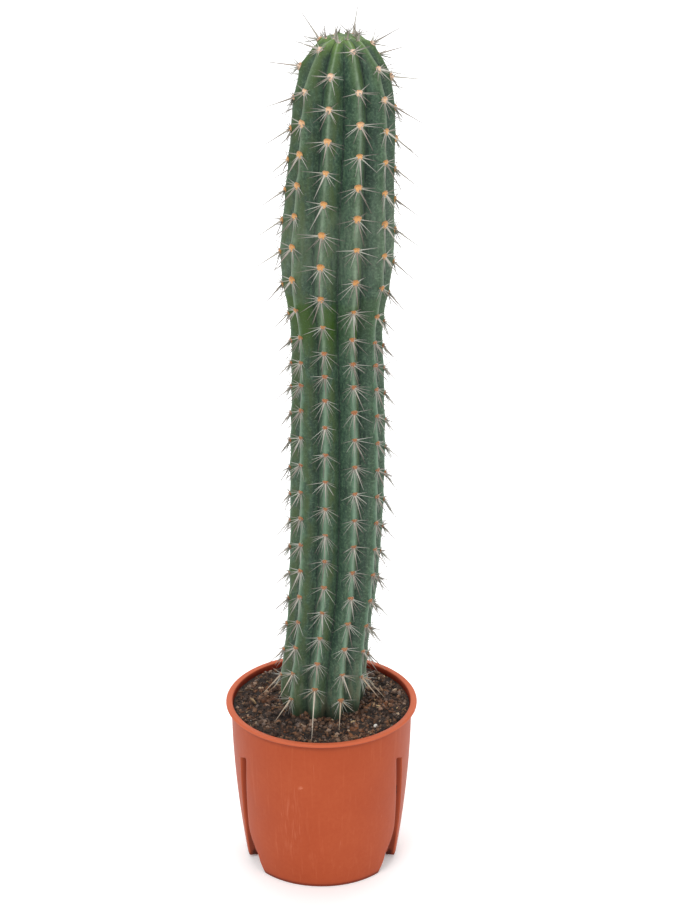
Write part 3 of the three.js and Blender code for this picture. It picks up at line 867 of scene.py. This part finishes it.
def place_on_points(tree, given, sink, instance, scale, made):
    """The end of every tree: +Z turned to each point's aim after a roll, real geometry, a material."""
    rolled = add(tree, "FunctionNodeAxisAngleToRotation", {"Axis": (0, 0, 1), "Angle": named(tree, "roll")})
    aimed = add(tree, "FunctionNodeAlignRotationToVector", {
        "Rotation": rolled, "Vector": named(tree, "aim", "FLOAT_VECTOR"),
    }, axis="Z")
    placed = add(tree, "GeometryNodeInstanceOnPoints", {
        "Points": given["Geometry"], "Instance": instance, "Rotation": aimed, "Scale": scale,
    })
    real = add(tree, "GeometryNodeRealizeInstances", {"Geometry": placed})
    shown = add(tree, "GeometryNodeSetMaterial", {"Geometry": real, "Material": made})
    feed(sink, {"Geometry": shown})


def bits_tree(made):
    tree, given, sink, ids = group_tree(
        "bits", "GeometryNodeTree", {"Geometry": "Geometry", "Shape": "Object"}, {"Geometry": "Geometry"})
    shape = add(tree, "GeometryNodeObjectInfo", {"Object": given["Shape"]}).outputs["Geometry"]
    place_on_points(tree, given, sink, shape, named(tree, "size", "FLOAT_VECTOR"), made)
    return tree, ids


def spine_tree(made):
    """Each point grows one bent, tapered spine along its aim."""
    tree, given, sink, ids = group_tree(
        "spines", "GeometryNodeTree",
        {"Geometry": "Geometry", "Sides": "Int", "Steps": "Int", "Bend": "Float"}, {"Geometry": "Geometry"})
    bend = add(tree, "ShaderNodeCombineXYZ", {"X": given["Bend"], "Y": 0.0, "Z": 0.35})
    shaft = add(tree, "GeometryNodeCurvePrimitiveBezierSegment", {
        "Start": (0, 0, -0.08), "End": (0, 0, 1), "Start Handle": bend, "End Handle": bend,
        "Resolution": given["Steps"],
    })
    place = add(tree, "GeometryNodeSplineParameter").outputs["Factor"]
    kept = add(tree, "GeometryNodeStoreNamedAttribute", {
        "Geometry": shaft, "Name": "shaft", "Value": place,
    }, data_type="FLOAT", domain="POINT")
    rest = add(tree, "ShaderNodeMath", {0: 1.02, 1: place}, operation="SUBTRACT").outputs[0]
    taper = maths("POWER", rest, 0.42)
    ring = add(tree, "GeometryNodeCurvePrimitiveCircle", {"Resolution": given["Sides"], "Radius": 1.0})
    body = add(tree, "GeometryNodeCurveToMesh", {
        "Curve": kept, "Profile Curve": ring, "Scale": taper, "Fill Caps": True,
    })
    thick = named(tree, "thick")
    scale = add(tree, "ShaderNodeCombineXYZ", {"X": thick, "Y": thick, "Z": named(tree, "length")})
    place_on_points(tree, given, sink, body, scale, made)
    return tree, ids


def grow(name, seeds, tree, ids, values, slot):
    """Runs a tree on a mesh of loose seeds and keeps the result as a plain, named piece."""
    points = new_mesh(f"{name}_seeds", [seed["point"] for seed in seeds])
    write_marks(points, seeds)
    seed = new_object(points.name, points)
    modifier = seed.modifiers.new(name, "NODES")
    modifier.node_group = tree
    for label, value in values.items():
        modifier[ids["INPUT", label]] = value
    mesh = evaluated(seed)
    mesh.name = name
    remove(seed)
    piece = new_object(name, mesh)
    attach(piece, "root")
    return piece


# ---- areoles and spines

def areole_places():
    """Each areole's middle, angle and height, and its directions: out of the skin, sideways, up, level."""
    places = []
    for row, z in enumerate(AREOLE_ROWS):
        slope = crest_slope(z)
        for rib in range(row % 2, RIBS, 2):
            angle = rib_angle(rib, 0, z)
            level = Vector(polar(1, angle, 0))
            side = Vector(polar(1, angle + math.pi / 2, 0))
            out = (level * math.cos(slope) + Vector((0, 0, math.sin(slope)))).normalized()
            places.append({"middle": skin_point(rib, 0, z), "angle": angle, "z": z, "out": out, "side": side,
                           "up": out.cross(side), "level": level})
    return places


def around(place, turn):
    """A direction along the skin at an areole, anticlockwise from the right."""
    return place["side"] * math.cos(turn) + place["up"] * math.sin(turn)


def thorn(pick, start, aim, length, thick, height, stout):
    """The seed of a spine or hair; length and thickness in mm."""
    return {"point": start, "aim": aim.normalized(), "length": length * MM, "thick": thick * MM,
            "roll": pick.uniform(0, TURN), "tone": pick.random(), "height": float(height), "stout": stout}


def spine_seeds(places):
    """Every spine: a flat fan of short ones, and one to three long ones that stand out."""
    pick = random.Random(SEED)
    seeds = []
    for place in places:
        z = place["z"]
        crown, apex, young = (smooth(*zone, z) for zone in (CROWN, APEX, YOUNG))
        foot = 1 - smooth(*FOOT_GONE, z)
        middle = place["middle"] - place["out"] * SPINE_SINK * MM
        fan = UPPER_FAN if pick.random() < young else LOWER_FAN
        for direction, length in fan + (SHORT_PAIR if crown or pick.random() < PAIR_CHANCE else []):
            missing = 0.5 if apex else 0.16 - 0.1 * young
            if (apex and direction < 0) or pick.random() < missing:
                continue
            spread = around(place, math.radians(direction + pick.uniform(-9, 9)))
            lift = pick.uniform(0.15, 0.5) + 0.2 * (1 - young) + 0.2 * crown + 1.2 * apex
            size = length * pick.uniform(0.72, 1.18) * (1 + 0.25 * young) * (1 - 0.6 * apex)
            start = middle + spread * 1.3 * MM
            seeds.append(thorn(pick, start, spread + place["out"] * lift, size, 0.52 + 0.16 * young, z, 0.0))
        behind = max(0.0, -math.cos(place["angle"])) * smooth(*APEX_BEHIND, z)
        rise = math.radians(along(LONG_RISE, z / MM) + RISE_BEHIND * behind + pick.uniform(-6, 6))
        aim = place["level"] * math.cos(rise) + Vector((0, 0, math.sin(rise)))
        aim += place["side"] * pick.uniform(-0.25, 0.25)
        size = (24 + 6 * young + 5 * foot - 18 * apex) * pick.uniform(0.88, 1.06)
        thick = 0.9 + 0.2 * max(young, foot)
        if z < LOWEST_ROWS and math.cos(place["angle"]) > FRONT:
            aim = HANGING
            size = 0.9 * (z - SOIL_TOP) * math.sqrt(2) / MM
            thick = 1.15
        seeds.append(thorn(pick, middle, aim, size, thick, z, 1.0))
        for hand in (-1, 1):
            if pick.random() < 0.55 - 0.4 * young:
                aim = place["level"] + place["side"] * hand * pick.uniform(0.3, 0.9)
                aim += Vector((0, 0, pick.uniform(-1.2, 0.1)))
                seeds.append(thorn(pick, middle, aim, 16 * pick.uniform(0.8, 1.1), 0.62, z, 0.7))
    return seeds


def wool_seeds(places):
    pick = random.Random(SEED + 3)
    seeds = []
    for place in places:
        for _ in range(HAIRS):
            spread = around(place, pick.uniform(0, TURN))
            start = place["middle"] + spread * pick.uniform(0.4, 2.6) * MM
            aim = place["out"] + spread * pick.uniform(0.3, 1.4)
            seeds.append(thorn(pick, start, aim, pick.uniform(1.4, 2.6), HAIR_THICKNESS, place["z"], 0.0))
    return seeds


def felt_seeds(places):
    pick = random.Random(SEED + 1)
    seeds = []
    for place in places:
        z = place["z"]
        young, crown, apex = (smooth(*zone, z) for zone in (FELT_YOUNG, FELT_CROWN, FELT_APEX))
        size = (3.2 + 0.55 * young - 0.8 * crown - 1.0 * apex) * MM
        size *= pick.uniform(0.88, 1.1)
        seeds.append({
            "point": place["middle"] - place["out"] * FELT_SINK, "aim": place["out"],
            "roll": float(place["angle"]), "size": (size, size * (0.95 + 0.25 * young), size * 0.75),
            "tone": pick.random() * (1 - 0.5 * young), "height": float(z),
        })
    return seeds


def felt_cushion():
    """One small domed pad, unit size, broad at its top and narrow at its lower end."""
    rings = [circle(12, math.cos(tilt), math.sin(tilt)) for tilt in (0.0, 0.35, 0.7, 1.0, 1.25)]
    marks = [{"upward": y} for ring in rings for _, y, _ in ring]
    pad = loft("felt_cushion", (0, 0, -0.3), rings, (0, 0, 1), marks)
    for vertex in pad.data.vertices:
        vertex.co *= 1 + 0.22 * noise.noise(vertex.co * 2.2)
        if vertex.co.y > 0:
            vertex.co.x *= 1 + 0.2 * vertex.co.y
            vertex.co.y *= 0.78
        else:
            vertex.co.x *= 1 - 0.42 * min(1, -vertex.co.y) ** 1.4
    return pad


def make_areoles(places):
    pad = felt_cushion()
    felt = grow("areole_felt", felt_seeds(places), *bits_tree(areole_felt()), {"Shape": pad}, "cactus_skin")
    remove(pad)
    shade_faces(felt.data)
    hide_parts("cactus")
    sizes = {"Sides": 3, "Steps": 3, "Bend": 0.16}
    hair_tree = spine_tree(felt.data.materials[0])
    wool = grow("areole_wool", wool_seeds(places), *hair_tree, sizes, "cactus_skin")
    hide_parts("cactus")


def make_spines(places):
    sizes = {"Sides": 5, "Steps": 6, "Bend": 0.05}
    spines = grow("spines", spine_seeds(places), *spine_tree(spine_horn()), sizes, "cactus_skin")
    shade_faces(spines.data)
    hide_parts("cactus")


# ---- soil

def nearness(x, y, place):
    """1 in the middle of a place on the soil, falling to 0 outside it."""
    return bell(math.hypot(x / MM - place[0], y / MM - place[1]), 0, place[2])


def soil_height(x, y):
    radius = math.hypot(x, y)
    mound = SOIL_MOUND * (1 - radius / SHOULDER_RADIUS)
    lumps = sum(size * MM * noise.noise(Vector((x, y, layer)) * scale) for size, layer, scale in SOIL_LUMPS)
    hem = min(1, max(0, (SHOULDER_RADIUS - WALL - radius) / SOIL_HEM))
    return SOIL_TOP + mound + lumps * (0.35 + 0.65 * hem) - HOLLOW_DEPTH * nearness(x, y, HOLLOW)


def make_bed():
    inset = WALL + SOIL_GAP
    low = FLOOR_TOP + SOIL_GAP

    def wall_ring(z):
        return pot_ring({**PLAIN_ROW, "z": z, "inset": inset, "flat": z <= FOOT_BLEND})[0]

    rings = [[(x * share, y * share, z) for x, y, z in wall_ring(low)] for share in (0.3, 0.6, 0.9)]
    rings += map(wall_ring, (low, 30 * MM, 60 * MM, 100 * MM, GROOVE_TOP, GROOVE_TOP + 3 * MM, 145 * MM,
                             158 * MM, SOIL_TOP - 2 * MM))
    last = rings[-1]
    for share in np.linspace(1, 0, SOIL_RINGS)[:-1] ** 0.9:
        rings.append([(x * share, y * share, soil_height(x * share, y * share)) for x, y, _ in last])
    bed = loft("soil_bed", (0, 0, low), rings, (0, 0, soil_height(0, 0)), None, soil_bed())
    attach(bed, "root")
    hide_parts("soil")


def rough_stone(name, stretch, lumps, sides, tiers):
    tilts = [math.pi * (i / tiers - 0.5) for i in range(1, tiers)]
    rings = [circle(sides, math.cos(tilt), math.sin(tilt)) for tilt in tilts]
    stone = loft(name, (0, 0, -1), rings, (0, 0, 1))
    offset = Vector((lumps * 7.1, lumps * 3.3, 1.7))
    for vertex in stone.data.vertices:
        vertex.co *= 1 + 0.55 * noise.noise(vertex.co * 1.3 + offset)
        vertex.co = Vector(c * s for c, s in zip(vertex.co, stretch))
    shade_faces(stone.data, False)
    return stone


def scatter(pick, count, low, high, flat, fixed):
    """Seeds for bits lying on the soil between the stem and the wall, after the ones with fixed places."""
    seeds = []

    def drop(x, y, size, tone, lift=0.25):
        seeds.append({
            "point": (x, y, soil_height(x, y) + size * lift),
            "aim": Vector((pick.gauss(0, flat), pick.gauss(0, flat), 1)).normalized(),
            "roll": pick.uniform(0, TURN),
            "size": (size * pick.uniform(0.7, 1.2), size * pick.uniform(0.7, 1.2), size),
            # painted shade: crumbs in the hollow take the darkest tone
            "tone": tone * (1 - nearness(x, y, HOLLOW)),
            "rusty": max(nearness(x, y, place) for place in RUSTY_PLACES) * pick.random(),
        })

    for x, y, size, tone in fixed:
        drop(x * MM, y * MM, size * MM, tone, 1.0)
    while len(seeds) < count:
        radius = math.sqrt(pick.uniform(0, 1)) * (SHOULDER_RADIUS - 3.2 * MM)
        x, y, _ = polar(radius, pick.uniform(0, TURN), 0)
        size = (low + (high - low) * pick.random() ** 1.8) * MM
        clear = math.hypot(x - lean(SOIL_TOP), y) > STEM_CLEARANCE
        if clear and radius + size < SHOULDER_RADIUS - 2.4 * MM:
            drop(x, y, size, pick.random())
    return seeds


def make_crumbs():
    pick = random.Random(SEED + 2)
    peat = soil_crumb("peat_crumbs", [
        (0.0, 44, 34, 29), (0.16, 74, 56, 45), (0.34, 102, 77, 61), (0.52, 122, 89, 66), (0.66, 136, 97, 70),
        (0.78, 124, 106, 96), (0.88, 156, 130, 112), (0.97, 200, 174, 146),
    ], 500.0)
    bark = soil_crumb("bark_chips", [
        (0.0, 96, 62, 40), (0.3, 132, 88, 56), (0.55, 74, 54, 44), (0.75, 140, 108, 78),
        (0.94, 206, 176, 132),
    ], 300.0)
    white = soil_crumb("perlite", [(0.0, 226, 222, 214), (0.5, 206, 202, 196)], 300.0)
    # name, material, count, smallest and largest half-size in mm, spread of tilt, stretch of the shape,
    # its sides and tiers, and bits with fixed places: x, y, half-size in mm and tone
    kinds = [
        ("peat_fine", peat, 2000, 0.6, 1.3, 1.0, (1, 0.8, 0.7), 6, 3, []),
        ("peat_coarse", peat, 1250, 1.1, 3.4, 0.9, (1.15, 0.8, 0.6), 8, 4, []),
        ("grit", peat, 600, 0.7, 1.5, 1.0, (1, 0.7, 0.6), 6, 3, []),
        ("bark_slivers", bark, 420, 1.0, 3.0, 0.45, (1.9, 0.55, 0.3), 6, 4, [(-67.6, -2.7, 3.4, 0.95)]),
        ("perlite", white, 12, 0.6, 1.0, 1.0, (1, 0.9, 0.8), 8, 4, [(53.4, -48.2, 2.2, 0.1)]),
    ]
    for i, (name, made, count, low, high, tilt, stretch, sides, tiers, fixed) in enumerate(kinds):
        stone = rough_stone(f"{name}_shape", stretch, i + 1, sides, tiers)
        seeds = scatter(pick, count, low, high, tilt, fixed)
        piece = grow(name, seeds, *bits_tree(made), {"Shape": stone}, "potting_soil")
        remove(stone)
        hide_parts("soil")


# ---- stage

def make_stage():
    outline = [(-FLOOR_FRONT, 0.0), (FLOOR_BACK, 0.0)]
    for t in np.radians(range(10, 91, 10)):
        outline.append((FLOOR_BACK + FLOOR_BEND * math.sin(t), FLOOR_BEND * (1 - math.cos(t))))
    outline.append((FLOOR_BACK + FLOOR_BEND, BACKDROP_TOP))
    points = [(x, y, z - FLOOR_DROP) for y, z in outline for x in (-FLOOR_HALF, FLOOR_HALF)]
    faces = [(2 * i, 2 * i + 1, 2 * i + 3, 2 * i + 2) for i in range(len(outline) - 1)]
    mesh = new_mesh("floor", points, faces)
    paper = Paint("floor_paper")
    feed(paper.shader, {
        "Base Color": (0.94, 0.94, 0.94, 1), "Roughness": 0.9,
        "Emission Color": (1, 1, 1, 1), "Emission Strength": 0.2,
    })
    floor = new_object("floor", mesh, paper.made)


def make_lights():
    for name, place, target, size, power in (
            ("key", (-1.3, -2.2, 2.6), (0, 0, 0.4), 1.6, 46),
            ("fill", (2.0, -2.0, 1.6), (0, 0, 0.4), 2.0, 22),
            ("top", (0.1, 0.5, 3.2), (0, 0, 0.3), 2.4, 34),
            ("backdrop", (0.0, 1.6, 2.6), (0, 4.2, 0), 3.0, 60)):
        data = bpy.data.lights.new(name, "AREA")
        data.shape = "SQUARE"
        data.size = size
        data.energy = power
        lamp = new_object(name, data)
        lamp.location = place
        lamp.rotation_euler = (Vector(target) - Vector(place)).to_track_quat("-Z", "Y").to_euler()
    world = bpy.data.worlds.new("studio")
    world.use_nodes = True
    feed(world.node_tree.nodes["Background"], {"Color": (1, 1, 1, 1), "Strength": 0.5})
    bpy.context.scene.world = world


def make_camera():
    data = bpy.data.cameras.new("camera")
    data.lens = CAMERA_LENS
    data.sensor_width = CAMERA_SENSOR
    data.clip_end = 50
    camera = new_object("camera", data)
    camera.location = CAMERA_PLACE
    camera.rotation_euler = (math.radians(90 - CAMERA_TILT), 0, 0)
    bpy.context.scene.camera = camera


# ---- assembly

make_camera()
make_stage()
make_lights()
bpy.context.scene.view_settings.view_transform = "Standard"
make_pot()
make_bed()
make_crumbs()
make_stem()
PLACES = areole_places()
make_areoles(PLACES)
make_spines(PLACES)
